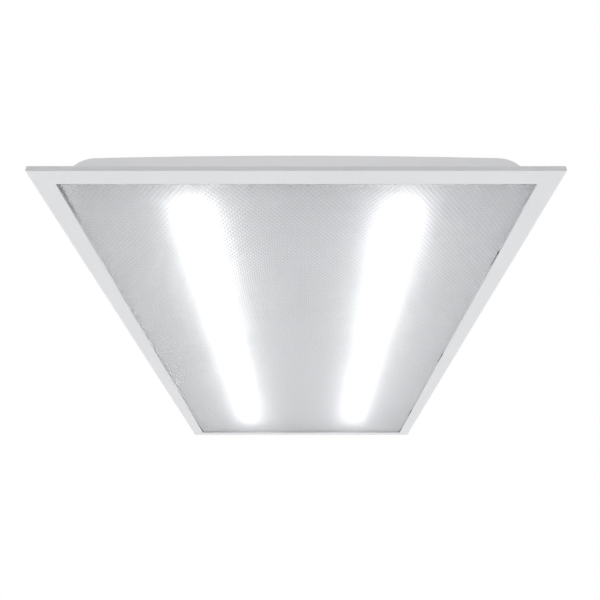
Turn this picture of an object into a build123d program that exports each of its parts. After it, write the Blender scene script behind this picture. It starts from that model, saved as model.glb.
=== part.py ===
from build123d import *
import math
import os

# Recessed troffer light, two by four foot lay-in size, with a lens door that swings down.
# Frame: X across, Y along, Z up. Origin at the centre of the room-side face. Millimetres.

# ---------------------------------------------------------------- driving dimensions
# Rim: four roll-formed channels that lie on the ceiling grid
fixture_width = 603.0
fixture_length = 1213.0
rim_face = 25.0
rim_height = 7.0
rim_sheet = 0.8
rim_return = 14.0
hem_width = 8.0
hem_nose_radius = 0.7
gusset_leg = 46.0
gusset_sheet = 1.5
gusset_edge_gap = 0.2

# Housing: roof, two side panels and two end panels, all bent from one gauge
pan_sheet = 0.6
foot_edge = 2.0
foot_setback = 16.6
side_top_setback = 40.3
end_break_setback = 40.4
end_break_z = 31.0
end_top_setback = 56.0
shoulder_z = 59.3
crown_z = 66.0
shoulder_radius = 22.0
roof_seam_setback = 58.0
seam_lap = 10.0
lap_end_gap = 2.0
end_flange = 12.0
end_flange_depth = 12.0
end_screw_count = 3
end_screw_pitch = 150.0

# Gear tray, its bridges and the wireway cover
tray_z = 43.5
tray_sheet = 0.6
tray_lip = 12.0
tray_end_gap = 1.5
wireway_width = 92.0
bridge_count = 4
bridge_end_inset = 156.5
bridge_width = 24.0
bridge_sheet = 1.0
bridge_overlap = 14.0
cover_flange = 12.0
cover_depth = 6.5
cover_draft = 8.0
cover_sheet = 0.6
cover_end_inset = 61.5
lead_hole_inset = 14.0
lead_hole_y = -64.0
lead_hole_radius = 4.5

# LED boards
board_width = 24.0
board_end_inset = 54.5
board_thickness = 1.6
board_centre_x = 139.0
board_gap = 4.0
chip_size = 3.0
chip_height = 0.7
chip_pitch = 20.0
chip_end_margin = 12.0
board_screw_count = 4
board_screw_inset = 27.5
connector_width = 8.0
connector_length = 14.0
connector_height = 4.5
connector_inset = 6.0
connector_edge = 0.5
link_wire_diameter = 1.5
link_wire_pitch = 3.2

# Driver and wiring
driver_length = 360.0
driver_width = 30.0
driver_height = 19.5
driver_end_inset = 486.5
driver_roof_gap = 0.1
driver_tab = 14.0
driver_tab_sheet = 1.0
driver_edge_radius = 1.5
driver_wall = 0.8
terminal_width = 20.0
terminal_rise = 1.0
terminal_length = 16.0
terminal_height = 12.0
led_lead_diameter = 3.0
supply_lead_diameter = 4.0
ground_lead_diameter = 2.6
disconnect_length = 22.0
disconnect_width = 14.0
disconnect_height = 9.0
disconnect_rise = 1.0
disconnect_edge_radius = 1.2
disconnect_end_inset = 234.5
ring_radius = 4.5
ring_sheet = 0.8
ring_barrel_length = 8.0
ring_barrel_radius = 1.8

# Roof: access door with its hinge, supply hole, hanger ears and grid clips
access_end_inset = 146.5
access_port_x = 74.0
access_port_y = 96.0
access_margin = 10.0
access_sheet = 1.0
access_lift = 0.05
access_hinge_radius = 2.5
access_pin_radius = 1.25
hinge_running_gap = 0.05
access_knuckle = 18.0
access_knuckle_gap = 0.3
access_leaf_depth = 14.0
access_screw_radius = 2.0
access_screw_play = 0.6
access_corner_radius = 4.0
access_pin_head = 1.2
access_pin_head_radius = 1.9
supply_hole_radius = 11.1
supply_hole_y = -210.0
ear_side_inset = 101.5
ear_end_inset = 126.5
ear_hole_radius = 3.25
ear_width = 22.0
ear_foot = 20.0
ear_rise = 5.0
ear_sheet = 1.5
ear_reach = 22.0
clip_end_inset = 176.5
clip_width = 20.0
clip_sheet = 1.0
clip_low_z = 13.0
clip_high_z = 46.0

# Lens door
door_gap = 1.5
lens_thickness = 2.6
lens_recess = 0.4
lens_edge_width = 2.6
lens_edge_height = 8.0
lens_corner_radius = 1.0
hinge_block_width = 9.0
hinge_block_length = 60.0
pivot_radius = 1.5
pivot_length = 62.0
pivot_travel = 7.0
pivot_peg_radius = 1.0
pivot_peg_reach = 11.0
pivot_peg_back = 8.0
peg_slot_gap = 0.4
hinge_plate = 1.2
hinge_plate_width = 16.0
hinge_plate_top = 3.6
hinge_plate_gap = 1.5
hinge_foot = 6.0
pivot_tip_reach = 2.0
pivot_tip_bevel = 0.5
catch_count = 3
catch_end_inset = 206.5
strike_length = 40.0
strike_height = 7.0
strike_thickness = 0.8
strike_gap = 0.1
magnet_length = 30.0
magnet_depth = 4.5
magnet_height = 6.0
magnet_edge = 0.5
catch_sheet = 1.2

# Fasteners
rivet_radius = 1.6
rivet_head_radius = 3.0
rivet_head_height = 0.9
rivet_tail = 0.6
roof_rivet_tail = 1.2
screw_radius = 2.0
screw_head_radius = 3.8
screw_head_height = 1.8
screw_bite = 3.0
hole_gap = 0.1
rim_rivet_line = 8.0
rim_rivet_corner = 34.0
rim_rivet_pitch = 190.0

# ---------------------------------------------------------------- sizes worked out
half_w = fixture_width / 2
half_l = fixture_length / 2
foot_top = rim_height + pan_sheet
aperture_x = half_w - rim_face
aperture_y = half_l - rim_face
tray_top = tray_z + tray_sheet
board_z = tray_z - board_thickness
chip_z = board_z - chip_height
lens_x = aperture_x - door_gap
lens_y = aperture_y - door_gap
lens_top = lens_recess + lens_thickness
edge_top = lens_top + lens_edge_height
edge_inner_x = lens_x - lens_edge_width
edge_inner_y = lens_y - lens_edge_width
pivot_x = -(edge_inner_x - hinge_block_width / 2)
pivot_z = lens_top + lens_edge_height / 2
hem_top = 2 * rim_sheet
board_length = half_l - board_end_inset - board_gap / 2
board_screw_pitch = (board_length - 2 * board_screw_inset) / (board_screw_count - 1)
chip_count = 1 + int((board_length - 2 * chip_end_margin) / chip_pitch)
cover_screw_pitch = 2 * (half_l - bridge_end_inset) / (bridge_count - 1)
driver_centre_y = half_l - driver_end_inset
disconnect_y = half_l - disconnect_end_inset
access_centre_y = half_l - access_end_inset
roof_inside = crown_z - pan_sheet
driver_top = roof_inside - driver_roof_gap
access_z = crown_z + access_lift
access_x = access_port_x / 2 + access_margin
access_y = access_port_y / 2 + access_margin
access_hinge_y = access_centre_y - access_y - access_hinge_radius
access_hinge_z = access_z + access_hinge_radius
cover_x = wireway_width / 2 + cover_flange
big = 4 * fixture_length
cut_margin = 1.0

side_run = side_top_setback - foot_setback
side_rise = shoulder_z - foot_top
lower_run = end_break_setback - foot_setback
lower_rise = end_break_z - foot_top
upper_run = end_top_setback - end_break_setback
upper_rise = crown_z - end_break_z
roof_half = half_w - side_top_setback
roof_sag = crown_z - shoulder_z
roof_radius = (roof_half ** 2 + roof_sag ** 2) / (2 * roof_sag)


def roof_height(x):
    """Height of the outside of the arched roof above X."""
    return crown_z - roof_radius + math.sqrt(roof_radius ** 2 - x ** 2)


def side_wall_x(z, inset):
    """X of the side wall at height z, inset from its outside face."""
    slide = inset * math.hypot(side_run, side_rise) / side_rise
    return half_w - foot_setback - slide - (z - foot_top) * side_run / side_rise


def lower_end_y(z, inset):
    """Y of the end wall's shallow lower flank at height z, inset from its outside face."""
    slide = inset * math.hypot(lower_run, lower_rise) / lower_rise
    return half_l - foot_setback - slide - (z - foot_top) * lower_run / lower_rise


def upper_end_y(z, inset):
    """Y of the end wall's steep upper flank at height z, inset from its outside face."""
    slide = inset * math.hypot(upper_run, upper_rise) / upper_rise
    return half_l - end_break_setback - slide - (z - end_break_z) * upper_run / upper_rise


def end_wall_y(z, inset):
    """Y of the folded end wall at height z, inset from its outside face."""
    return max(lower_end_y(z, inset), upper_end_y(z, inset))


def slab(x0, x1, y0, y1, z0, z1):
    """A box given by its corners."""
    return Pos((x0 + x1) / 2, (y0 + y1) / 2, (z0 + z1) / 2) * Box(x1 - x0, y1 - y0, z1 - z0)


def rod(x, y, z0, z1, radius):
    """An upright cylinder from z0 to z1."""
    return Pos(x, y, (z0 + z1) / 2) * Cylinder(radius, z1 - z0)


def pan_block(inset):
    """The housing's cross-section filled in, inset from its outside, run along Y."""
    low = rim_height
    high = crown_z + roof_sag
    walls = Polygon(
        (-side_wall_x(low, inset), low),
        (side_wall_x(low, inset), low),
        (side_wall_x(high, inset), high),
        (-side_wall_x(high, inset), high),
        align=None,
    )
    arch = Pos(0, crown_z - roof_radius) * Circle(roof_radius - inset)
    section = walls & arch
    shoulders = section.vertices().sort_by(Axis.Y)[-2:]
    section = fillet(shoulders, shoulder_radius - inset)
    return extrude(Plane.XZ * section, amount=half_l, both=True)


def flank_profile(flank_y, inset):
    """The space between one pair of end flanks, carried on up past the roof."""
    low = rim_height
    high = crown_z + roof_sag
    return Polygon(
        (-flank_y(low, inset), low),
        (flank_y(low, inset), low),
        (flank_y(high, inset), high),
        (-flank_y(high, inset), high),
        align=None,
    )


def end_block(inset):
    """The space between the two folded ends, inset from their outside."""
    profile = flank_profile(lower_end_y, inset) + flank_profile(upper_end_y, inset)
    return extrude(Plane.YZ * profile, amount=half_w, both=True)


def rivet(x, y, z, grip, tail):
    """A rivet whose head sits on a surface at z, through a grip below it."""
    head = rod(x, y, z, z + rivet_head_height, rivet_head_radius)
    head = fillet(head.edges().sort_by(Axis.Z)[-1], rivet_head_height * 0.6)
    return head + rod(x, y, z - grip - tail, z, rivet_radius)


def screw_up(x, y, z, length):
    """A pan-head screw whose head hangs under a surface at z, driven upwards."""
    head = rod(x, y, z - screw_head_height, z, screw_head_radius)
    head = fillet(head.edges().sort_by(Axis.Z)[0], screw_head_height * 0.5)
    return head + rod(x, y, z, z + length, screw_radius)


def screw_down(x, y, z, length):
    """A pan-head screw whose head sits on a surface at z, driven downwards."""
    head = rod(x, y, z, z + screw_head_height, screw_head_radius)
    head = fillet(head.edges().sort_by(Axis.Z)[-1], screw_head_height * 0.5)
    return head + rod(x, y, z - length, z, screw_radius)


def spaced(count, pitch):
    """Places spaced evenly about zero."""
    return [(i - (count - 1) / 2) * pitch for i in range(count)]


def tube(points, diameter):
    """A lead along straight runs joined by arcs as large as the runs allow."""
    vectors = [Vector(*p) for p in points]
    radii = []
    for before, at, after in zip(vectors, vectors[1:], vectors[2:]):
        turn = math.radians((at - before).get_angle(after - at))
        shorter = min((at - before).length, (after - at).length)
        radii.append(0.45 * shorter / math.tan(turn / 2))
    print("lead radii", [round(r, 1) for r in radii])
    path = FilletPolyline(*points, radius=radii)
    start = Plane(origin=path @ 0, z_dir=path % 0)
    return sweep(start * Circle(diameter / 2), path=path)


parts = {}

# ---------------------------------------------------------------- where things are fastened
rivet_end_x = half_w - rim_rivet_corner
rivet_end_y = half_l - rim_rivet_corner
rivet_hole_top = foot_top + rivet_head_height
rim_rivets_side = [
    (sx * (half_w - rim_rivet_line), y)
    for sx in (-1, 1)
    for y in [-rivet_end_y, rivet_end_y]
    + spaced(int(2 * rivet_end_y / rim_rivet_pitch), rim_rivet_pitch)
]
rim_rivets_end = [
    (x, sy * (half_l - rim_rivet_line))
    for sy in (-1, 1)
    for x in [-rivet_end_x, rivet_end_x]
    + spaced(int(2 * rivet_end_x / rim_rivet_pitch), rim_rivet_pitch)
]
rim_rivet_places = rim_rivets_side + rim_rivets_end
rim_rivet_holes = [
    rod(x, y, rim_height / 2, rivet_hole_top, rivet_radius + hole_gap) for x, y in rim_rivet_places
]

cover_screw_x = wireway_width / 2 + cover_flange / 2
bridge_places = spaced(bridge_count, cover_screw_pitch)
cover_screw_places = [(sx * cover_screw_x, y) for sx in (-1, 1) for y in bridge_places]

board_centres = {
    "left_near": (-board_centre_x, -(board_length + board_gap) / 2),
    "left_far": (-board_centre_x, (board_length + board_gap) / 2),
    "right_near": (board_centre_x, -(board_length + board_gap) / 2),
    "right_far": (board_centre_x, (board_length + board_gap) / 2),
}
board_screw_places = [
    (x, y + dy) for x, y in board_centres.values() for dy in spaced(board_screw_count, board_screw_pitch)
]

driver_end = driver_length / 2 + driver_tab / 2
driver_screw_places = [(0, driver_centre_y + sy * driver_end) for sy in (-1, 1)]

ear_x = half_w - ear_side_inset
ear_y = half_l - ear_end_inset
ear_places = [(sx * ear_x, sy * ear_y) for sx in (-1, 1) for sy in (-1, 1)]
ear_foot_inner = ear_reach / 2 + ear_sheet + ear_foot

# ---------------------------------------------------------------- rim channels
rim_section = Polygon(
    (0, 0),
    (rim_face, 0),
    (rim_face, 2 * rim_sheet),
    (rim_face - hem_width, 2 * rim_sheet),
    (rim_face - hem_width, rim_sheet),
    (rim_sheet, rim_sheet),
    (rim_sheet, rim_height - rim_sheet),
    (rim_return, rim_height - rim_sheet),
    (rim_return, rim_height),
    (0, rim_height),
    align=None,
)
outer_bends = rim_section.vertices().group_by(Axis.X)[0]
rim_section = fillet(outer_bends, rim_sheet * 0.9)
hem_nose = rim_section.vertices().group_by(Axis.X)[-1]
rim_section = fillet(hem_nose, min(hem_nose_radius, rim_sheet * 0.95))


def rim_member(half_length, half_span):
    """A channel along Y on the +X side, mitred at both ends."""
    face = Plane.XZ * (Pos(half_span, 0) * mirror(rim_section, about=Plane.YZ))
    bar = extrude(face, amount=half_length, both=True)
    depth = rim_face + cut_margin
    plan = Polygon(
        (half_span, -half_length),
        (half_span, half_length),
        (half_span - depth, half_length - depth),
        (half_span - depth, -half_length + depth),
        align=None,
    )
    return bar & extrude(plan, amount=rim_height)


side_member = rim_member(half_l, half_w)
end_member = rim_member(half_w, half_l)
rims = {
    "rim_right": side_member,
    "rim_left": Rot(0, 0, 180) * side_member,
    "rim_far": Rot(0, 0, 90) * end_member,
    "rim_near": Rot(0, 0, -90) * end_member,
}
for name, member in rims.items():
    parts[name] = member - rim_rivet_holes

# Corner gussets lie under the top returns and carry the mitres
gusset_top = rim_height - rim_sheet
gusset_inset = rim_sheet + gusset_edge_gap
gussets = []
for sx in (-1, 1):
    for sy in (-1, 1):
        plate = slab(0, gusset_leg, 0, gusset_leg, gusset_top - gusset_sheet, gusset_top)
        cut = rim_return - gusset_inset - gusset_edge_gap
        plate -= slab(cut, big, cut, big, 0, crown_z)
        corner = Pos(half_w - gusset_inset, half_l - gusset_inset) * Rot(0, 0, 180) * plate
        if sx < 0:
            corner = mirror(corner, about=Plane.YZ)
        if sy < 0:
            corner = mirror(corner, about=Plane.XZ)
        gussets.append(corner - rim_rivet_holes)
parts["corner_gussets"] = gussets

rim_rivets = []
for x, y in rim_rivet_places:
    grip = pan_sheet + rim_sheet
    if math.isclose(abs(y), rivet_end_y) or math.isclose(abs(x), rivet_end_x):
        grip += gusset_sheet
    rim_rivets.append(rivet(x, y, foot_top, grip, rivet_tail))
parts["rim_rivets"] = rim_rivets

# ---------------------------------------------------------------- housing
pan_out = pan_block(0)
pan_in = pan_block(pan_sheet)
pan_flange = pan_block(2 * pan_sheet)
ends_out = end_block(0)
ends_in = end_block(pan_sheet)
skin = (pan_out - pan_in) & ends_out
seam_x = half_w - roof_seam_setback

roof = skin & slab(-seam_x, seam_x, -half_l, half_l, 0, big)
port_low = access_centre_y - access_port_y / 2
port_high = access_centre_y + access_port_y / 2
roof -= slab(-access_port_x / 2, access_port_x / 2, port_low, port_high, tray_top, big)
roof -= rod(0, supply_hole_y, tray_top, 2 * crown_z, supply_hole_radius)
roof -= [rod(x, y, tray_top, 2 * crown_z, screw_radius + hole_gap) for x, y in driver_screw_places]

foot_inner = side_wall_x(foot_top, pan_sheet)
end_foot_inner = end_wall_y(foot_top, pan_sheet)
foot_end = half_l - foot_edge
side_foot = slab(foot_inner, half_w - foot_edge, -foot_end, foot_end, rim_height, foot_top)
lap_half = end_wall_y(crown_z, pan_sheet) - end_flange - lap_end_gap
lap_zone = slab(seam_x - seam_lap, seam_x + 2 * pan_sheet, -lap_half, lap_half, shoulder_z, big)
lap = (pan_in - pan_flange) & lap_zone
side_panel = (skin & slab(seam_x, half_w, -half_l, half_l, 0, big)) + side_foot + lap
parts["side_panel_right"] = side_panel - rim_rivet_holes
parts["side_panel_left"] = Rot(0, 0, 180) * side_panel - rim_rivet_holes

end_wall = (ends_out - ends_in) & pan_in
flange_zone = ends_in - end_block(pan_sheet + end_flange)
return_zone = slab(-big, big, -half_l, half_l, crown_z - end_flange_depth, big)
end_return = (pan_in - pan_flange) & flange_zone & return_zone
end_foot = slab(-foot_inner, foot_inner, end_foot_inner, foot_end, rim_height, foot_top)
far_zone = slab(-half_w, half_w, 0, half_l, 0, big)
side_feet = side_foot + Rot(0, 0, 180) * side_foot
end_panel = ((end_wall + end_return) & far_zone) - side_feet + end_foot

end_screw_y = end_wall_y(crown_z, pan_sheet) - end_flange / 2
end_screw_places = [(x, sy * end_screw_y) for x in spaced(end_screw_count, end_screw_pitch) for sy in (-1, 1)]
end_screw_holes = [rod(x, y, tray_top, 2 * crown_z, screw_radius + hole_gap) for x, y in end_screw_places]
parts["end_panel_far"] = end_panel - end_screw_holes - rim_rivet_holes
parts["end_panel_near"] = Rot(0, 0, 180) * end_panel - end_screw_holes - rim_rivet_holes

# Hanger ears: a foot on the roof, a step up and an ear with the wire hole
ears = []
ear_rivet_places = []
for x, y in ear_places:
    outward = 1 if x > 0 else -1
    half_ear = ear_width / 2
    rivet_dy = ear_width / 4
    foot_near = abs(x) - ear_foot_inner
    foot_z = roof_height(foot_near)
    step_x = abs(x) - ear_reach / 2 - ear_sheet
    ear_z = foot_z + ear_sheet + ear_rise
    ear = slab(foot_near, step_x + ear_sheet, -half_ear, half_ear, foot_z, foot_z + ear_sheet)
    ear += slab(step_x, step_x + ear_sheet, -half_ear, half_ear, foot_z, ear_z)
    ear += slab(step_x, abs(x) + ear_reach / 2, -half_ear, half_ear, ear_z - ear_sheet, ear_z)
    ear -= rod(abs(x), 0, 0, 2 * crown_z, ear_hole_radius)
    rivet_x = (foot_near + step_x) / 2
    ear -= [rod(rivet_x, dy, 0, 2 * crown_z, rivet_radius + hole_gap) for dy in (-rivet_dy, rivet_dy)]
    if outward < 0:
        ear = mirror(ear, about=Plane.YZ)
    ears.append(Pos(0, y) * ear)
    ear_rivet_places += [(outward * rivet_x, y + dy, foot_z + ear_sheet) for dy in (-rivet_dy, rivet_dy)]
parts["hanger_ears"] = ears
roof_rivets = [rivet(x, y, z, ear_sheet + pan_sheet, roof_rivet_tail) for x, y, z in ear_rivet_places]

roof -= end_screw_holes
roof -= [rod(x, y, tray_top, 2 * crown_z, rivet_radius + hole_gap) for x, y, z in ear_rivet_places]
access_screw_y = access_centre_y + access_port_y / 2 + access_margin / 2
roof -= rod(0, access_screw_y, tray_top, 2 * crown_z, access_screw_radius + access_screw_play)
roof_screws = [
    screw_down(x, y, roof_height(max(0, abs(x) - screw_head_radius)), 2 * pan_sheet + screw_bite)
    for x, y in end_screw_places
]

# Grid clips: soft steel straps lying on the side panels, bent out over the grid when fitted
clip_skin = pan_block(-clip_sheet) - pan_out
clips = []
for sx in (-1, 1):
    for sy in (-1, 1):
        y = sy * (half_l - clip_end_inset)
        low, high = sorted((0, sx * big))
        zone = slab(low, high, y - clip_width / 2, y + clip_width / 2, clip_low_z, clip_high_z)
        clips.append(clip_skin & zone)
parts["grid_clips"] = clips

# ---------------------------------------------------------------- gear tray
tray_half_l = end_wall_y(tray_top, pan_sheet) - tray_end_gap
tray_band = slab(-big, big, -tray_half_l, tray_half_l, tray_z - tray_lip, tray_top)
tray_lips = (pan_in - pan_block(pan_sheet + tray_sheet)) & tray_band
tray_flat = pan_in & slab(-big, big, -tray_half_l, tray_half_l, tray_z, tray_top)
tray = tray_lips + tray_flat
tray -= slab(-wireway_width / 2, wireway_width / 2, -big, big, 0, big)
for x, y in board_screw_places + cover_screw_places:
    tray -= rod(x, y, tray_z - cut_margin, tray_top + cut_margin, screw_radius + hole_gap)

lead_hole_x = board_centre_x - board_width / 2 - lead_hole_inset
for sx in (-1, 1):
    tray -= rod(sx * lead_hole_x, lead_hole_y, tray_z - cut_margin, tray_top + cut_margin, lead_hole_radius)
parts["gear_tray_right"] = tray & slab(0, big, -big, big, 0, big)
parts["gear_tray_left"] = tray & slab(-big, 0, -big, big, 0, big)

bridge_x = wireway_width / 2 + bridge_overlap
bridges = []
for y in bridge_places:
    bridge = slab(
        -bridge_x, bridge_x, y - bridge_width / 2, y + bridge_width / 2, tray_top, tray_top + bridge_sheet
    )
    bridge -= [rod(sx * cover_screw_x, y, 0, crown_z, screw_radius + hole_gap) for sx in (-1, 1)]
    bridges.append(bridge)

# Wireway cover: a shallow white tray with out-turned flanges and closed ends
cover_bottom = tray_z - cover_depth
cover_half = half_l - cover_end_inset
cover_inner = wireway_width / 2
cover_outline = Polygon(
    (-cover_inner, tray_z),
    (cover_inner, tray_z),
    (cover_inner - cover_draft, cover_bottom),
    (-(cover_inner - cover_draft), cover_bottom),
    align=None,
)
cover_hollow = Polygon(
    (-(cover_inner - cover_sheet), tray_z + cut_margin),
    (cover_inner - cover_sheet, tray_z + cut_margin),
    (cover_inner - cover_draft - cover_sheet, cover_bottom + cover_sheet),
    (-(cover_inner - cover_draft - cover_sheet), cover_bottom + cover_sheet),
    align=None,
)
cover = extrude(Plane.XZ * cover_outline, amount=cover_half, both=True)
cover += slab(-cover_x, cover_x, -cover_half, cover_half, tray_z - cover_sheet, tray_z)
cover -= extrude(Plane.XZ * cover_hollow, amount=cover_half - cover_sheet, both=True)
cover -= [rod(x, y, 0, crown_z, screw_radius + hole_gap) for x, y in cover_screw_places]
parts["wireway_cover"] = cover
tray_screw_length = cover_sheet + tray_sheet + bridge_sheet + screw_bite
tray_screws = [screw_up(x, y, tray_z - cover_sheet, tray_screw_length) for x, y in cover_screw_places]

# ---------------------------------------------------------------- LED boards
connector_y = board_gap / 2 + connector_inset + connector_length / 2
half_chip = chip_size / 2
chips = []
for name, (x, y) in board_centres.items():
    board = slab(
        x - board_width / 2, x + board_width / 2, y - board_length / 2, y + board_length / 2, board_z, tray_z
    )
    screw_offsets = spaced(board_screw_count, board_screw_pitch)
    parts["led_board_" + name] = board - [
        rod(x, y + dy, 0, crown_z, screw_radius + hole_gap) for dy in screw_offsets
    ]
    chips += [
        slab(x - half_chip, x + half_chip, y + dy - half_chip, y + dy + half_chip, chip_z, board_z)
        for dy in spaced(chip_count, chip_pitch)
        if min(abs(dy - place) for place in screw_offsets) > screw_head_radius + chip_size
    ]
parts["led_chips"] = chips
board_screw_length = board_thickness + tray_sheet + screw_bite
tray_screws += [screw_up(x, y, board_z, board_screw_length) for x, y in board_screw_places]
parts["tray_screws"] = tray_screws

connector_x = board_centre_x - board_width / 2 + connector_width / 2 + connector_edge
connector_z = board_z - connector_height
connectors = []
for sx in (-1, 1):
    for sy in (-1, 1):
        x = sx * connector_x
        y = sy * connector_y
        block = slab(
            x - connector_width / 2, x + connector_width / 2,
            y - connector_length / 2, y + connector_length / 2, connector_z, board_z,
        )
        connectors.append(chamfer(block.edges().group_by(Axis.Z)[0], connector_edge))
parts["board_connectors"] = connectors

link_z = connector_z + connector_height / 2
link_end = connector_y - connector_length / 2
parts["board_links"] = [
    Pos(sx * connector_x + dx, 0, link_z) * Rot(90, 0, 0) * Cylinder(link_wire_diameter / 2, 2 * link_end)
    for sx in (-1, 1)
    for dx in spaced(2, link_wire_pitch)
]

# ---------------------------------------------------------------- driver and wiring
driver_low = driver_top - driver_height
case = slab(
    -driver_width / 2, driver_width / 2,
    driver_centre_y - driver_length / 2, driver_centre_y + driver_length / 2, driver_low, driver_top,
)
case = fillet(case.edges().filter_by(Axis.Y).group_by(Axis.Z)[0], driver_edge_radius)
circuit_x = driver_width / 2 - driver_wall
circuit_half = driver_length / 2 - driver_wall
circuit = slab(
    -circuit_x, circuit_x,
    driver_centre_y - circuit_half, driver_centre_y + circuit_half, driver_low + driver_wall, driver_top,
)
circuit = fillet(circuit.edges().filter_by(Axis.Y).group_by(Axis.Z)[0], driver_edge_radius - driver_wall / 2)
case -= circuit
parts["driver_circuit"] = circuit
for sy in (-1, 1):
    y_in = driver_centre_y + sy * driver_length / 2
    y_out = y_in + sy * driver_tab
    case += slab(
        -terminal_width / 2, terminal_width / 2, min(y_in, y_out), max(y_in, y_out),
        driver_top - driver_tab_sheet, driver_top,
    )
case -= [rod(x, y, 0, 2 * crown_z, screw_radius + hole_gap) for x, y in driver_screw_places]
parts["driver_case"] = case
parts["roof_screws"] = roof_screws + [
    screw_down(x, y, crown_z, pan_sheet + driver_tab_sheet + screw_bite) for x, y in driver_screw_places
]

terminal_z = driver_low + terminal_rise
terminals = []
for sy in (-1, 1):
    y_in = driver_centre_y + sy * driver_length / 2
    y_out = y_in + sy * terminal_length
    block = slab(
        -terminal_width / 2, terminal_width / 2, min(y_in, y_out), max(y_in, y_out),
        terminal_z, terminal_z + terminal_height,
    )
    terminals.append(chamfer(block.edges().filter_by(Axis.X), terminal_rise))
parts["driver_terminals"] = terminals

lead_z = terminal_z + terminal_height / 2
output_y = driver_centre_y - driver_length / 2 - terminal_length
connector_back = -(connector_y + connector_length / 2)
for side, sx in (("left", -1), ("right", 1)):
    route = [
        (sx * 5, output_y, lead_z),
        (sx * 5, output_y - 24, lead_z),
        (sx * 30, output_y - 34, lead_z - 1),
        (sx * (lead_hole_x - 40), output_y - 30, lead_z - 1),
        (sx * (lead_hole_x - 8), lead_hole_y - 4, lead_z - 1),
        (sx * lead_hole_x, lead_hole_y, tray_z - 1),
        (sx * (lead_hole_x + 2), lead_hole_y + 9, connector_z + 1),
        (sx * connector_x, connector_back - 14, link_z),
        (sx * connector_x, connector_back, link_z),
    ]
    parts["led_lead_" + side] = tube(route, led_lead_diameter)

# Quick disconnect between the driver and the building supply
input_y = driver_centre_y + driver_length / 2 + terminal_length
disconnect_z = tray_top + bridge_sheet + disconnect_rise + disconnect_height / 2
for name, y0 in (("disconnect_socket", disconnect_y), ("disconnect_plug", disconnect_y + disconnect_length)):
    body = slab(
        -disconnect_width / 2, disconnect_width / 2, y0, y0 + disconnect_length,
        disconnect_z - disconnect_height / 2, disconnect_z + disconnect_height / 2,
    )
    parts[name] = fillet(body.edges().filter_by(Axis.Y), disconnect_edge_radius)
parts["supply_lead"] = tube(
    [
        (0, input_y, lead_z),
        (0, input_y + 14, lead_z),
        (0, disconnect_y - 14, disconnect_z),
        (0, disconnect_y, disconnect_z),
    ],
    supply_lead_diameter,
)

# Grounding screw on the far bridge, under the access port, and the driver's earth lead
ground_x = -access_port_x / 4
ground_y = bridge_places[-1]
ground_z = tray_top + bridge_sheet
bridges[-1] -= rod(ground_x, ground_y, 0, crown_z, screw_radius + hole_gap)
parts["tray_bridges"] = bridges
ground_screw_length = ring_sheet + bridge_sheet + screw_bite
parts["ground_screw"] = screw_down(ground_x, ground_y, ground_z + ring_sheet, ground_screw_length)
ground_lead_end = ground_y - ring_radius - ring_barrel_length
ground_lead_low = ground_z + ring_barrel_radius
ground_lead_x = -driver_width / 4
ground_lead = tube(
    [
        (ground_lead_x, input_y, lead_z),
        (ground_lead_x, input_y + 22, lead_z),
        (ground_x, input_y + 52, lead_z - 1),
        (ground_x - 1, ground_lead_end - 34, ground_lead_low + 2),
        (ground_x, ground_lead_end - 14, ground_lead_low),
        (ground_x, ground_lead_end, ground_lead_low),
    ],
    ground_lead_diameter,
)
ring = rod(ground_x, ground_y, ground_z, ground_z + ring_sheet, ring_radius)
ring += slab(
    ground_x - ring_barrel_radius, ground_x + ring_barrel_radius,
    ground_y - ring_radius - ring_barrel_length / 2, ground_y, ground_z, ground_z + ring_sheet,
)
barrel = Pos(ground_x, ground_y - ring_radius - ring_barrel_length / 2, ground_lead_low) * Rot(90, 0, 0)
ring += barrel * Cylinder(ring_barrel_radius, ring_barrel_length)
ring -= rod(ground_x, ground_y, 0, crown_z, screw_radius + hole_gap)
parts["ground_lead"] = [ground_lead, ring]

# ---------------------------------------------------------------- roof access door
knuckle_pitch = access_knuckle + access_knuckle_gap
hinge_half = 1.5 * access_knuckle + access_knuckle_gap
access_bore = access_pin_radius + hinge_running_gap


def along_x(x0, x1, radius):
    """A cylinder on the access door's hinge line, from x0 to x1."""
    spot = Pos((x0 + x1) / 2, access_hinge_y, access_hinge_z)
    return spot * Rot(0, 90, 0) * Cylinder(radius, x1 - x0)


access_top = access_z + access_sheet
door_plate = slab(
    -access_x, access_x, access_centre_y - access_y, access_centre_y + access_y, access_z, access_top
)
door_plate = fillet(door_plate.edges().filter_by(Axis.Z), access_corner_radius)
door_plate += slab(
    -access_knuckle / 2, access_knuckle / 2, access_hinge_y, access_centre_y, access_z, access_top
)
door_plate += along_x(-access_knuckle / 2, access_knuckle / 2, access_hinge_radius)
door_plate -= along_x(-hinge_half, hinge_half, access_bore)
door_plate -= rod(0, access_screw_y, 0, 2 * crown_z, access_screw_radius + hole_gap)
parts["access_door"] = door_plate
parts["access_screw"] = screw_down(0, access_screw_y, access_top, access_sheet + screw_bite)

leaf_low = access_hinge_y - access_leaf_depth
leaf = slab(-hinge_half, hinge_half, leaf_low, access_hinge_y, access_z, access_top)
leaf += along_x(-hinge_half, hinge_half, access_hinge_radius)
knuckle_gap_x = access_knuckle / 2 + access_knuckle_gap
knuckle_gap_y = access_hinge_y - access_hinge_radius - access_knuckle_gap
leaf -= slab(-knuckle_gap_x, knuckle_gap_x, knuckle_gap_y, half_l, 0, 2 * crown_z)
leaf -= along_x(-hinge_half, hinge_half, access_bore)
leaf_rivet_y = leaf_low + access_leaf_depth / 3
leaf_rivet_places = [(sx * knuckle_pitch, leaf_rivet_y) for sx in (-1, 1)]
leaf_holes = [rod(x, y, tray_top, 2 * crown_z, rivet_radius + hole_gap) for x, y in leaf_rivet_places]
parts["access_hinge_leaf"] = leaf - leaf_holes
parts["roof_panel"] = roof - leaf_holes
leaf_grip = access_sheet + pan_sheet
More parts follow.
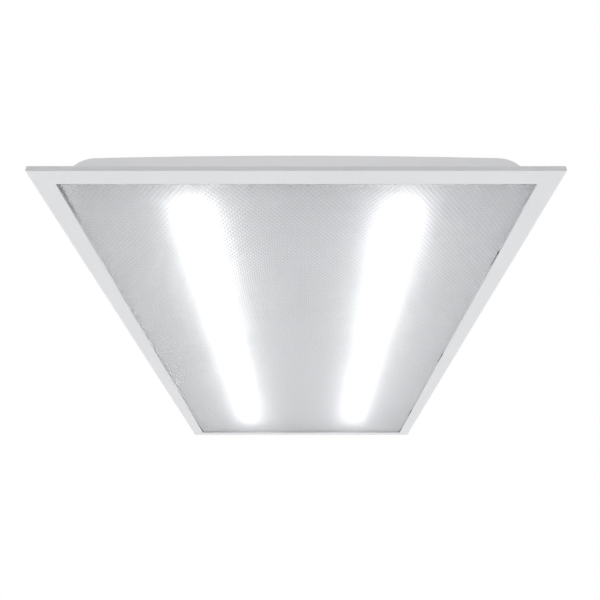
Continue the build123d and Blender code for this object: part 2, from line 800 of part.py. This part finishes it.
roof_rivets += [rivet(x, y, access_top, leaf_grip, roof_rivet_tail) for x, y in leaf_rivet_places]
parts["roof_rivets"] = roof_rivets
parts["access_hinge_pin"] = (
    along_x(-hinge_half - access_pin_head, hinge_half + access_pin_head, access_pin_radius)
    + along_x(-hinge_half - access_pin_head, -hinge_half, access_pin_head_radius)
)

# ---------------------------------------------------------------- lens door
def along_y(x, z, y0, y1, radius):
    """A cylinder along Y from y0 to y1."""
    return Pos(x, (y0 + y1) / 2, z) * Rot(90, 0, 0) * Cylinder(radius, y1 - y0)


# One moulded sheet with an upturned edge all round
lens = slab(-lens_x, lens_x, -lens_y, lens_y, lens_recess, edge_top)
lens = fillet(lens.edges().filter_by(Axis.Z), lens_corner_radius)
lens -= slab(-edge_inner_x, edge_inner_x, -edge_inner_y, edge_inner_y, lens_top, 2 * edge_top)
pivot_hole = along_y(pivot_x, pivot_z, -half_l, half_l, pivot_radius + hinge_running_gap)
parts["lens"] = lens - pivot_hole

# Hinge blocks in its left corners, the sliding pins in them, and the plates on the rim for the pins
plate_y = aperture_y + hinge_plate_gap
pivot_tip = plate_y + hinge_plate + pivot_tip_reach
pivot_tail = pivot_tip - pivot_length
peg_y = pivot_tail + pivot_peg_back
slot_half = pivot_peg_radius + peg_slot_gap
block_inner = edge_inner_y - hinge_block_length
for end, sy in (("near", -1), ("far", 1)):
    low, high = sorted((sy * block_inner, sy * edge_inner_y))
    slot_low, slot_high = sorted((sy * (peg_y + slot_half), sy * (peg_y - pivot_travel - slot_half)))
    block = slab(-edge_inner_x, -edge_inner_x + hinge_block_width, low, high, lens_top, edge_top)
    block -= slab(
        pivot_x, pivot_x + hinge_block_width, slot_low, slot_high, pivot_z - slot_half, pivot_z + slot_half
    )
    parts["hinge_block_" + end] = block - pivot_hole

    tail, tip = sorted((sy * pivot_tail, sy * pivot_tip))
    pin = along_y(pivot_x, pivot_z, tail, tip, pivot_radius)
    pin = chamfer(pin.edges().sort_by(Axis.Y)[-1 if sy > 0 else 0], pivot_tip_bevel)
    peg = Pos(pivot_x + pivot_peg_reach / 2, sy * peg_y, pivot_z) * Rot(0, 90, 0)
    parts["hinge_pin_" + end] = pin + peg * Cylinder(pivot_peg_radius, pivot_peg_reach)

    low, high = sorted((sy * plate_y, sy * (plate_y + hinge_plate)))
    foot_low, foot_high = sorted((sy * plate_y, sy * (plate_y + hinge_foot)))
    x0 = pivot_x - hinge_plate_width / 2
    x1 = pivot_x + hinge_plate_width / 2
    plate = slab(x0, x1, low, high, hem_top, pivot_z + hinge_plate_top)
    plate += slab(x0, x1, foot_low, foot_high, hem_top, hem_top + hinge_plate)
    parts["hinge_plate_" + end] = plate - pivot_hole

# Steel strikes on the right edge of the lens, and the magnets that hold them, on brackets over the hem
strike_face = lens_x + strike_thickness
magnet_x = strike_face + strike_gap
magnet_back = magnet_x + magnet_depth
magnet_z = hem_top + catch_sheet
strikes = []
magnets = []
brackets = []
for y in spaced(catch_count, 2 * (half_l - catch_end_inset) / (catch_count - 1)):
    strikes.append(
        slab(
            lens_x, strike_face, y - strike_length / 2, y + strike_length / 2,
            pivot_z - strike_height / 2, pivot_z + strike_height / 2,
        )
    )
    magnet_low = y - magnet_length / 2
    magnet_high = y + magnet_length / 2
    magnet = slab(magnet_x, magnet_back, magnet_low, magnet_high, magnet_z, magnet_z + magnet_height)
    magnets.append(chamfer(magnet.edges().group_by(Axis.X)[0], magnet_edge))
    bracket = slab(aperture_x, magnet_back + catch_sheet, magnet_low, magnet_high, hem_top, magnet_z)
    bracket += slab(
        magnet_back, magnet_back + catch_sheet, magnet_low, magnet_high, hem_top, magnet_z + magnet_height
    )
    brackets.append(bracket)
parts["strike_plates"] = strikes
parts["catch_magnets"] = magnets
parts["catch_brackets"] = brackets

# ---------------------------------------------------------------- one file for each node
os.makedirs("parts", exist_ok=True)
for name in sorted(parts):
    shape = parts[name]
    if isinstance(shape, list):
        shape = Compound(children=shape)
    export_step(shape, "parts/" + name + ".step")
print(len(parts), "nodes")
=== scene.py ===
import bmesh
import bpy
import math
from mathutils import Matrix, Vector


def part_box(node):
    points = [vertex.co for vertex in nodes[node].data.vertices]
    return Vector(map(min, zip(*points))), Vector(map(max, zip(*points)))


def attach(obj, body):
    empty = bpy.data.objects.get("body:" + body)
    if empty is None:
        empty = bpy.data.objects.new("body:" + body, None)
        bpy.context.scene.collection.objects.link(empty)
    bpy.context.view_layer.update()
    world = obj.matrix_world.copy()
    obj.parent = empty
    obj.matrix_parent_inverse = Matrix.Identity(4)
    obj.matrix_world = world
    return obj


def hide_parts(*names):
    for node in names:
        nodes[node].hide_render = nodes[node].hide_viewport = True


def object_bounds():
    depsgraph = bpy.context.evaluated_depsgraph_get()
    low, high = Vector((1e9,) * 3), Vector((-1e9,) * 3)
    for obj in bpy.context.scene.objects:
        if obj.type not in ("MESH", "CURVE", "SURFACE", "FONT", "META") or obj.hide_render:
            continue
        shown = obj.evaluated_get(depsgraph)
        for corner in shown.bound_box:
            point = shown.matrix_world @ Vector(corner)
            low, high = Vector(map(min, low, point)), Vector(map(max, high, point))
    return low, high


# Recessed troffer light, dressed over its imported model. Metres, in the model's own frame.
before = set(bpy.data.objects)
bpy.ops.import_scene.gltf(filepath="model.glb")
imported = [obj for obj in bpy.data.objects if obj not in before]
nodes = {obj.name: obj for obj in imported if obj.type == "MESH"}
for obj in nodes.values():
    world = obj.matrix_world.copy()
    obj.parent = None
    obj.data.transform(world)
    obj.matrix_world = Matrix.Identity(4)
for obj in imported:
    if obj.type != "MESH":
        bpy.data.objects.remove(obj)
cad_low, cad_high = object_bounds()
scene = bpy.context.scene

# ---------------------------------------------------------------- frame channels
# Four roll-formed steel channels, mitred at the corners, that carry the light on the ceiling grid.
# Satin white powder coat over the bent sheet: almost even, with a fine orange-peel skin. The steel strikes
# on the lens wear the same paint.


def add(tree, kind, **values):
    """A node in a material, with its input sockets or own settings given by name."""
    node = tree.nodes.new("ShaderNode" + kind)
    for key, value in values.items():
        socket = node.inputs.get(key.replace("_", " "))
        if socket is None:
            setattr(node, key, value)
        else:
            socket.default_value = value
    return node


def new_finish(name, colour, roughness, metallic=0.0):
    """A material with its shader, its node tree and its object coordinates."""
    made = bpy.data.materials.new(name)
    made.use_nodes = True
    tree = made.node_tree
    shader = tree.nodes["Principled BSDF"]
    shader.inputs["Base Color"].default_value = (*colour, 1)
    shader.inputs["Roughness"].default_value = roughness
    shader.inputs["Metallic"].default_value = metallic
    place = add(tree, "TexCoord").outputs["Object"]
    return made, tree, shader, place


def vary_colour(tree, shader, pattern, dark, light):
    """The base colour runs from dark to light with a pattern."""
    ramp = add(tree, "ValToRGB")
    ramp.color_ramp.elements[0].position = 0.3
    ramp.color_ramp.elements[1].position = 0.7
    ramp.color_ramp.elements[0].color = (*dark, 1)
    ramp.color_ramp.elements[1].color = (*light, 1)
    tree.links.new(pattern, ramp.inputs["Fac"])
    tree.links.new(ramp.outputs["Color"], shader.inputs["Base Color"])


def vary_roughness(tree, shader, pattern, low, high):
    """The roughness runs from low to high with a pattern."""
    spread = add(tree, "MapRange", To_Min=low, To_Max=high)
    tree.links.new(pattern, spread.inputs["Value"])
    tree.links.new(spread.outputs["Result"], shader.inputs["Roughness"])


def raise_skin(tree, shader, pattern, height, strength):
    """A bump of a height in metres from a pattern."""
    bump = add(tree, "Bump", Distance=height, Strength=strength)
    tree.links.new(pattern, bump.inputs["Height"])
    tree.links.new(bump.outputs["Normal"], shader.inputs["Normal"])


def noise(tree, place, scale, detail=3.0):
    """Noise at a scale in cells per metre."""
    cloud = add(tree, "TexNoise", Scale=scale, Detail=detail)
    tree.links.new(place, cloud.inputs["Vector"])
    return cloud.outputs["Fac"]


def powder_coat(name, dark, light, peel=0.00004):
    """Satin powder coat: soft clouding, uneven gloss and a fine orange peel."""
    made, tree, shader, place = new_finish(name, light, 0.42)
    shader.inputs["IOR"].default_value = 1.5
    vary_colour(tree, shader, noise(tree, place, 9.0), dark, light)
    vary_roughness(tree, shader, noise(tree, place, 30.0), 0.36, 0.5)
    raise_skin(tree, shader, noise(tree, place, 700.0, 2.0), peel, 0.35)
    return made


def finish_nodes(names, material):
    """Gives CAD nodes a finish."""
    for name in names:
        node = nodes[name]
        node.data.materials.clear()
        node.data.materials.append(material)


frame_white = powder_coat("frame_white", (0.785, 0.79, 0.81), (0.81, 0.815, 0.835))
finish_nodes(["rim_far", "rim_near", "rim_left", "rim_right", "strike_plates"], frame_white)

# ---------------------------------------------------------------- housing
# Roof, two side panels and two end panels, folded from pre-painted white steel sheet, riveted to the
# channels by their feet. The roof access door and its hinge leaf are cut from the same sheet.


def painted_sheet(name, dark, light):
    """Coil-coated sheet: flatter than powder coat, with faint rolling lines and handling marks."""
    made, tree, shader, place = new_finish(name, light, 0.5)
    vary_colour(tree, shader, noise(tree, place, 6.0, 5.0), dark, light)
    stretch = add(tree, "Mapping")
    stretch.inputs["Scale"].default_value = (400.0, 6.0, 400.0)
    tree.links.new(place, stretch.inputs["Vector"])
    lines = noise(tree, stretch.outputs["Vector"], 1.0, 2.0)
    vary_roughness(tree, shader, lines, 0.42, 0.56)
    raise_skin(tree, shader, lines, 0.00001, 0.3)
    return made


housing_white = painted_sheet("housing_white", (0.715, 0.717, 0.737), (0.745, 0.747, 0.767))
housing_nodes = [
    "roof_panel", "side_panel_left", "side_panel_right", "end_panel_far", "end_panel_near",
    "access_door", "access_hinge_leaf",
]
finish_nodes(housing_nodes, housing_white)

# ---------------------------------------------------------------- brackets, ears and clips
# Gussets, hanger ears, grid clips, tray bridges, hinge plates and catch brackets are stamped from hot-dip
# galvanised sheet, so they show the zinc's spangle.


def galvanised(name):
    """Zinc crystals a few millimetres across, each with its own shade and gloss."""
    made, tree, shader, place = new_finish(name, (0.55, 0.57, 0.59), 0.35, metallic=1.0)
    cells = add(tree, "TexVoronoi", Scale=170.0)
    tree.links.new(place, cells.inputs["Vector"])
    shade = add(tree, "SeparateColor")
    tree.links.new(cells.outputs["Color"], shade.inputs["Color"])
    vary_colour(tree, shader, shade.outputs["Red"], (0.47, 0.49, 0.51), (0.62, 0.64, 0.66))
    vary_roughness(tree, shader, shade.outputs["Green"], 0.24, 0.48)
    raise_skin(tree, shader, noise(tree, place, 900.0, 2.0), 0.00001, 0.3)
    return made


zinc_sheet = galvanised("zinc_sheet")
bracket_nodes = [
    "corner_gussets", "grid_clips", "hanger_ears", "tray_bridges", "catch_brackets",
    "hinge_plate_far", "hinge_plate_near",
]
finish_nodes(bracket_nodes, zinc_sheet)

# ---------------------------------------------------------------- rivets, screws and hinge pins
# Bright zinc-plated steel, tumbled in the plating drum, so each one is evenly bright with tiny scratches.
# The earth screw is dyed green.


def plated(name, colour, metallic=1.0):
    """Drum-plated steel with fine scratches."""
    made, tree, shader, place = new_finish(name, colour, 0.3, metallic=metallic)
    vary_roughness(tree, shader, noise(tree, place, 1500.0, 4.0), 0.18, 0.42)
    raise_skin(tree, shader, noise(tree, place, 2200.0, 3.0), 0.00001, 0.25)
    return made


bright_zinc = plated("bright_zinc", (0.68, 0.69, 0.7))
fastener_nodes = [
    "rim_rivets", "roof_rivets", "roof_screws", "tray_screws", "access_screw", "access_hinge_pin",
    "hinge_pin_far", "hinge_pin_near",
]
finish_nodes(fastener_nodes, bright_zinc)
finish_nodes(["ground_screw"], plated("earth_green", (0.05, 0.3, 0.11), metallic=0.6))

# ---------------------------------------------------------------- gear tray and wireway cover
# Two tray halves and the cover between them, in matt white reflector paint that sends the light down
# through the lens. Screws through the cover's flanges hold it to the bridges above.


def reflector(name, colour):
    """Matt reflector paint with a very fine tooth."""
    made, tree, shader, place = new_finish(name, colour, 0.7)
    vary_roughness(tree, shader, noise(tree, place, 60.0), 0.62, 0.78)
    raise_skin(tree, shader, noise(tree, place, 1100.0, 2.0), 0.00001, 0.3)
    return made


reflector_white = reflector("reflector_white", (0.72, 0.725, 0.73))
finish_nodes(["gear_tray_left", "gear_tray_right", "wireway_cover"], reflector_white)

# ---------------------------------------------------------------- boards and their chips
# Four aluminium-backed boards under white solder mask, each with a row of small white LED packages.
# The mask carries a painted glow that stands in for the chips' light spread across it; this glow makes the
# two soft bands behind the lens. The glow reaches a little further at the far end.
board_glow = 6.2
lit_start = 0.503
lit_fade = 0.04
lit_shift = 0.02


def lamp_light_and_painted_glow(name, colour, strength):
    """Emission fading towards both ends of the row: the chips' own light, and on the white solder mask a
    painted glow that stands in for the chips' light spread over it.
    """
    made, tree, shader, place = new_finish(name, colour, 0.35)
    along = add(tree, "SeparateXYZ")
    tree.links.new(place, along.inputs["Vector"])
    shifted = add(tree, "Math", operation="SUBTRACT")
    shifted.inputs[1].default_value = lit_shift
    tree.links.new(along.outputs["Y"], shifted.inputs[0])
    from_middle = add(tree, "Math", operation="ABSOLUTE")
    tree.links.new(shifted.outputs[0], from_middle.inputs[0])
    fade = add(tree, "MapRange", To_Min=strength, To_Max=0.0, interpolation_type="SMOOTHSTEP")
    fade.inputs["From Min"].default_value = lit_start
    fade.inputs["From Max"].default_value = lit_start + lit_fade
    tree.links.new(from_middle.outputs[0], fade.inputs["Value"])
    shader.inputs["Emission Color"].default_value = (1, 1, 1, 1)
    tree.links.new(fade.outputs["Result"], shader.inputs["Emission Strength"])
    return made


board_nodes = ["led_board_left_far", "led_board_left_near", "led_board_right_far", "led_board_right_near"]
# The boards' mask gets a painted glow, not light of its own; the chips are the lamps.
finish_nodes(board_nodes, lamp_light_and_painted_glow("board_painted_glow", (0.9, 0.9, 0.9), board_glow))
finish_nodes(["led_chips"], lamp_light_and_painted_glow("lit_phosphor", (0.95, 0.88, 0.6), board_glow))

# ---------------------------------------------------------------- driver, connectors and leads
# A painted steel driver case with nylon terminals, an orange quick disconnect, and PVC-sleeved leads.


def moulded(name, colour, roughness):
    """Moulded nylon with the fine sparkle of an eroded mould."""
    made, tree, shader, place = new_finish(name, colour, roughness)
    vary_roughness(tree, shader, noise(tree, place, 300.0), roughness - 0.06, roughness + 0.08)
    raise_skin(tree, shader, noise(tree, place, 1600.0, 2.0), 0.00001, 0.4)
    return made


def sleeve(name, colour):
    """Extruded PVC sleeve with faint draw lines."""
    made, tree, shader, place = new_finish(name, colour, 0.32)
    vary_roughness(tree, shader, noise(tree, place, 500.0), 0.26, 0.4)
    raise_skin(tree, shader, noise(tree, place, 900.0, 2.0), 0.00001, 0.2)
    return made


driver_grey = painted_sheet("driver_grey", (0.66, 0.67, 0.68), (0.72, 0.73, 0.74))
nylon_white = moulded("nylon_white", (0.86, 0.86, 0.83), 0.4)
nylon_orange = moulded("nylon_orange", (0.8, 0.27, 0.05), 0.38)
finish_nodes(["driver_case"], driver_grey)
finish_nodes(["driver_circuit"], moulded("potting", (0.05, 0.05, 0.055), 0.5))
finish_nodes(["board_connectors", "driver_terminals"], nylon_white)
finish_nodes(["disconnect_plug", "disconnect_socket"], nylon_orange)
pvc_grey = sleeve("pvc_grey", (0.68, 0.68, 0.67))
finish_nodes(["led_lead_left", "led_lead_right", "board_links"], pvc_grey)
finish_nodes(["supply_lead"], sleeve("pvc_black", (0.03, 0.03, 0.03)))
finish_nodes(["ground_lead"], sleeve("pvc_green", (0.05, 0.33, 0.12)))

# ---------------------------------------------------------------- hinge blocks and catch magnets
# Moulded white nylon blocks, cemented into the left corners of the lens, in which the hinge pins slide.
# Ferrite magnets on the right, behind the frame face, hold the lens shut.
nylon_hinge = moulded("nylon_hinge", (0.86, 0.86, 0.84), 0.45)
finish_nodes(["hinge_block_far", "hinge_block_near"], nylon_hinge)
finish_nodes(["catch_magnets"], moulded("ferrite", (0.05, 0.05, 0.055), 0.55))

# ---------------------------------------------------------------- prismatic lens
# One acrylic moulding: a sheet with an upturned edge, plain above, with small pyramids set diamond-wise
# below, their points down. The facets are matt, which spreads each row of chips into a broad band.
# A hair of cement lies between it and the hinge blocks and strikes.
pyramid_across = 0.0066
pyramid_along = 0.0091
pyramid_height = 0.0012
cement_gap = 0.00005
acrylic_tint = (0.93, 0.935, 0.945)
facet_roughness = 0.68
acrylic_index = 1.49
sheet_thickness = 0.0026 - cement_gap
edge_width = 0.0026 - 2 * cement_gap

lens_low, lens_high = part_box("lens")
lens_half_x = lens_high.x - cement_gap
lens_half_y = lens_high.y - cement_gap
cell = 1 / math.sqrt(2)
cells = 2 * math.ceil(lens_half_x / pyramid_across + lens_half_y / pyramid_along) + 2
bm = bmesh.new()
bmesh.ops.create_grid(bm, x_segments=cells, y_segments=cells, size=cells * cell / 2)
bmesh.ops.rotate(bm, verts=bm.verts, cent=(0, 0, 0), matrix=Matrix.Rotation(math.pi / 4, 3, "Z"))
bmesh.ops.scale(bm, vec=(pyramid_across, pyramid_along, 1), verts=bm.verts)
far_faces = [
    f for f in bm.faces
    if abs(f.calc_center_median().x) > lens_half_x + pyramid_across
    or abs(f.calc_center_median().y) > lens_half_y + pyramid_along
]
bmesh.ops.delete(bm, geom=far_faces, context="FACES")
poked = bmesh.ops.poke(bm, faces=bm.faces[:])
bmesh.ops.translate(bm, vec=(0, 0, -pyramid_height), verts=poked["verts"])
bmesh.ops.translate(bm, vec=(0, 0, lens_low.z + pyramid_height), verts=bm.verts)
for side in ((1, 0, 0), (-1, 0, 0), (0, 1, 0), (0, -1, 0)):
    edge = (side[0] * lens_half_x, side[1] * lens_half_y, 0)
    everything = bm.verts[:] + bm.edges[:] + bm.faces[:]
    bmesh.ops.bisect_plane(bm, geom=everything, plane_co=edge, plane_no=side, clear_outer=True)
border = [e for e in bm.edges if e.is_boundary]
inner_x = 1 - edge_width / lens_half_x
inner_y = 1 - edge_width / lens_half_y
sheet_top = lens_low.z + sheet_thickness
for scale_x, scale_y, level in ((1, 1, lens_high.z), (inner_x, inner_y, lens_high.z), (1, 1, sheet_top)):
    raised = bmesh.ops.extrude_edge_only(bm, edges=border)["geom"]
    ring = [g for g in raised if isinstance(g, bmesh.types.BMVert)]
    bmesh.ops.scale(bm, vec=(scale_x, scale_y, 0), verts=ring)
    bmesh.ops.translate(bm, vec=(0, 0, level), verts=ring)
    border = [g for g in raised if isinstance(g, bmesh.types.BMEdge)]
bmesh.ops.holes_fill(bm, edges=border, sides=0)
bmesh.ops.recalc_face_normals(bm, faces=bm.faces)
lens_mesh = bpy.data.meshes.new("prismatic_lens")
bm.to_mesh(lens_mesh)
bm.free()
prismatic_lens = bpy.data.objects.new("prismatic_lens", lens_mesh)
scene.collection.objects.link(prismatic_lens)

acrylic, _, acrylic_shader, _ = new_finish("acrylic", acrylic_tint, facet_roughness)
acrylic_shader.inputs["Transmission Weight"].default_value = 1.0
acrylic_shader.inputs["IOR"].default_value = acrylic_index
lens_mesh.materials.append(acrylic)
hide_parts("lens")
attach(prismatic_lens, "lens_door")

# ---------------------------------------------------------------- floor, light and camera
# A plain pale floor at a room's depth below the light, studio light that is gathered overhead and comes back
# up from the floor, and the photograph's camera, low in front of the near end.
floor_drop = 2.4
floor_half = 40.0
bm = bmesh.new()
bmesh.ops.create_grid(bm, x_segments=1, y_segments=1, size=floor_half)
bmesh.ops.translate(bm, vec=(0, 0, -floor_drop), verts=bm.verts)
floor_mesh = bpy.data.meshes.new("floor")
bm.to_mesh(floor_mesh)
bm.free()
floor = bpy.data.objects.new("floor", floor_mesh)
scene.collection.objects.link(floor)
floor_mesh.materials.append(new_finish("floor_pale", (0.9, 0.9, 0.9), 0.9)[0])

sky_low = 0.02
sky_high = 3.0
sky_power = 4.0
world = bpy.data.worlds.new("studio")
world.use_nodes = True
scene.world = world
sky = world.node_tree
direction = add(sky, "TexCoord").outputs["Generated"]
height = add(sky, "SeparateXYZ")
sky.links.new(direction, height.inputs["Vector"])
steep = add(sky, "Math", operation="ABSOLUTE")
sky.links.new(height.outputs["Z"], steep.inputs[0])
gathered = add(sky, "Math", operation="POWER")
gathered.inputs[1].default_value = sky_power
sky.links.new(steep.outputs[0], gathered.inputs[0])
level = add(sky, "Math", operation="MULTIPLY_ADD")
level.inputs[1].default_value = sky_high
level.inputs[2].default_value = sky_low
sky.links.new(gathered.outputs[0], level.inputs[0])
studio = sky.nodes["Background"]
studio.inputs["Color"].default_value = (1, 1, 1, 1)
sky.links.new(level.outputs[0], studio.inputs["Strength"])
backdrop = add(sky, "Background", Color=(1, 1, 1, 1), Strength=1.0)
path = add(sky, "LightPath").outputs
mirrored = add(sky, "Math", operation="MAXIMUM")
sky.links.new(path["Is Glossy Ray"], mirrored.inputs[0])
sky.links.new(path["Is Transmission Ray"], mirrored.inputs[1])
seen = add(sky, "Math", operation="MAXIMUM")
sky.links.new(path["Is Camera Ray"], seen.inputs[0])
sky.links.new(mirrored.outputs[0], seen.inputs[1])
chooser = add(sky, "MixShader")
sky.links.new(seen.outputs[0], chooser.inputs[0])
sky.links.new(studio.outputs[0], chooser.inputs[1])
sky.links.new(backdrop.outputs[0], chooser.inputs[2])
sky.links.new(chooser.outputs[0], sky.nodes["World Output"].inputs["Surface"])

photo_width = 600
focal_pixels = 631.0
centre_pixel = 304.6
sensor_width = 36.0
camera_side = 0.0095
camera_back = 0.5698
camera_drop = 0.4344
camera_tilt = 25.76
lens_data = bpy.data.cameras.new("camera")
lens_data.sensor_width = sensor_width
lens_data.lens = sensor_width * focal_pixels / photo_width
lens_data.shift_x = (photo_width / 2 - centre_pixel) / photo_width
camera = bpy.data.objects.new("camera", lens_data)
scene.collection.objects.link(camera)
camera.location = (camera_side, cad_low.y - camera_back, -camera_drop)
camera.rotation_euler = (math.radians(90 + camera_tilt), 0, 0)
scene.camera = camera
scene.view_settings.view_transform = "Standard"
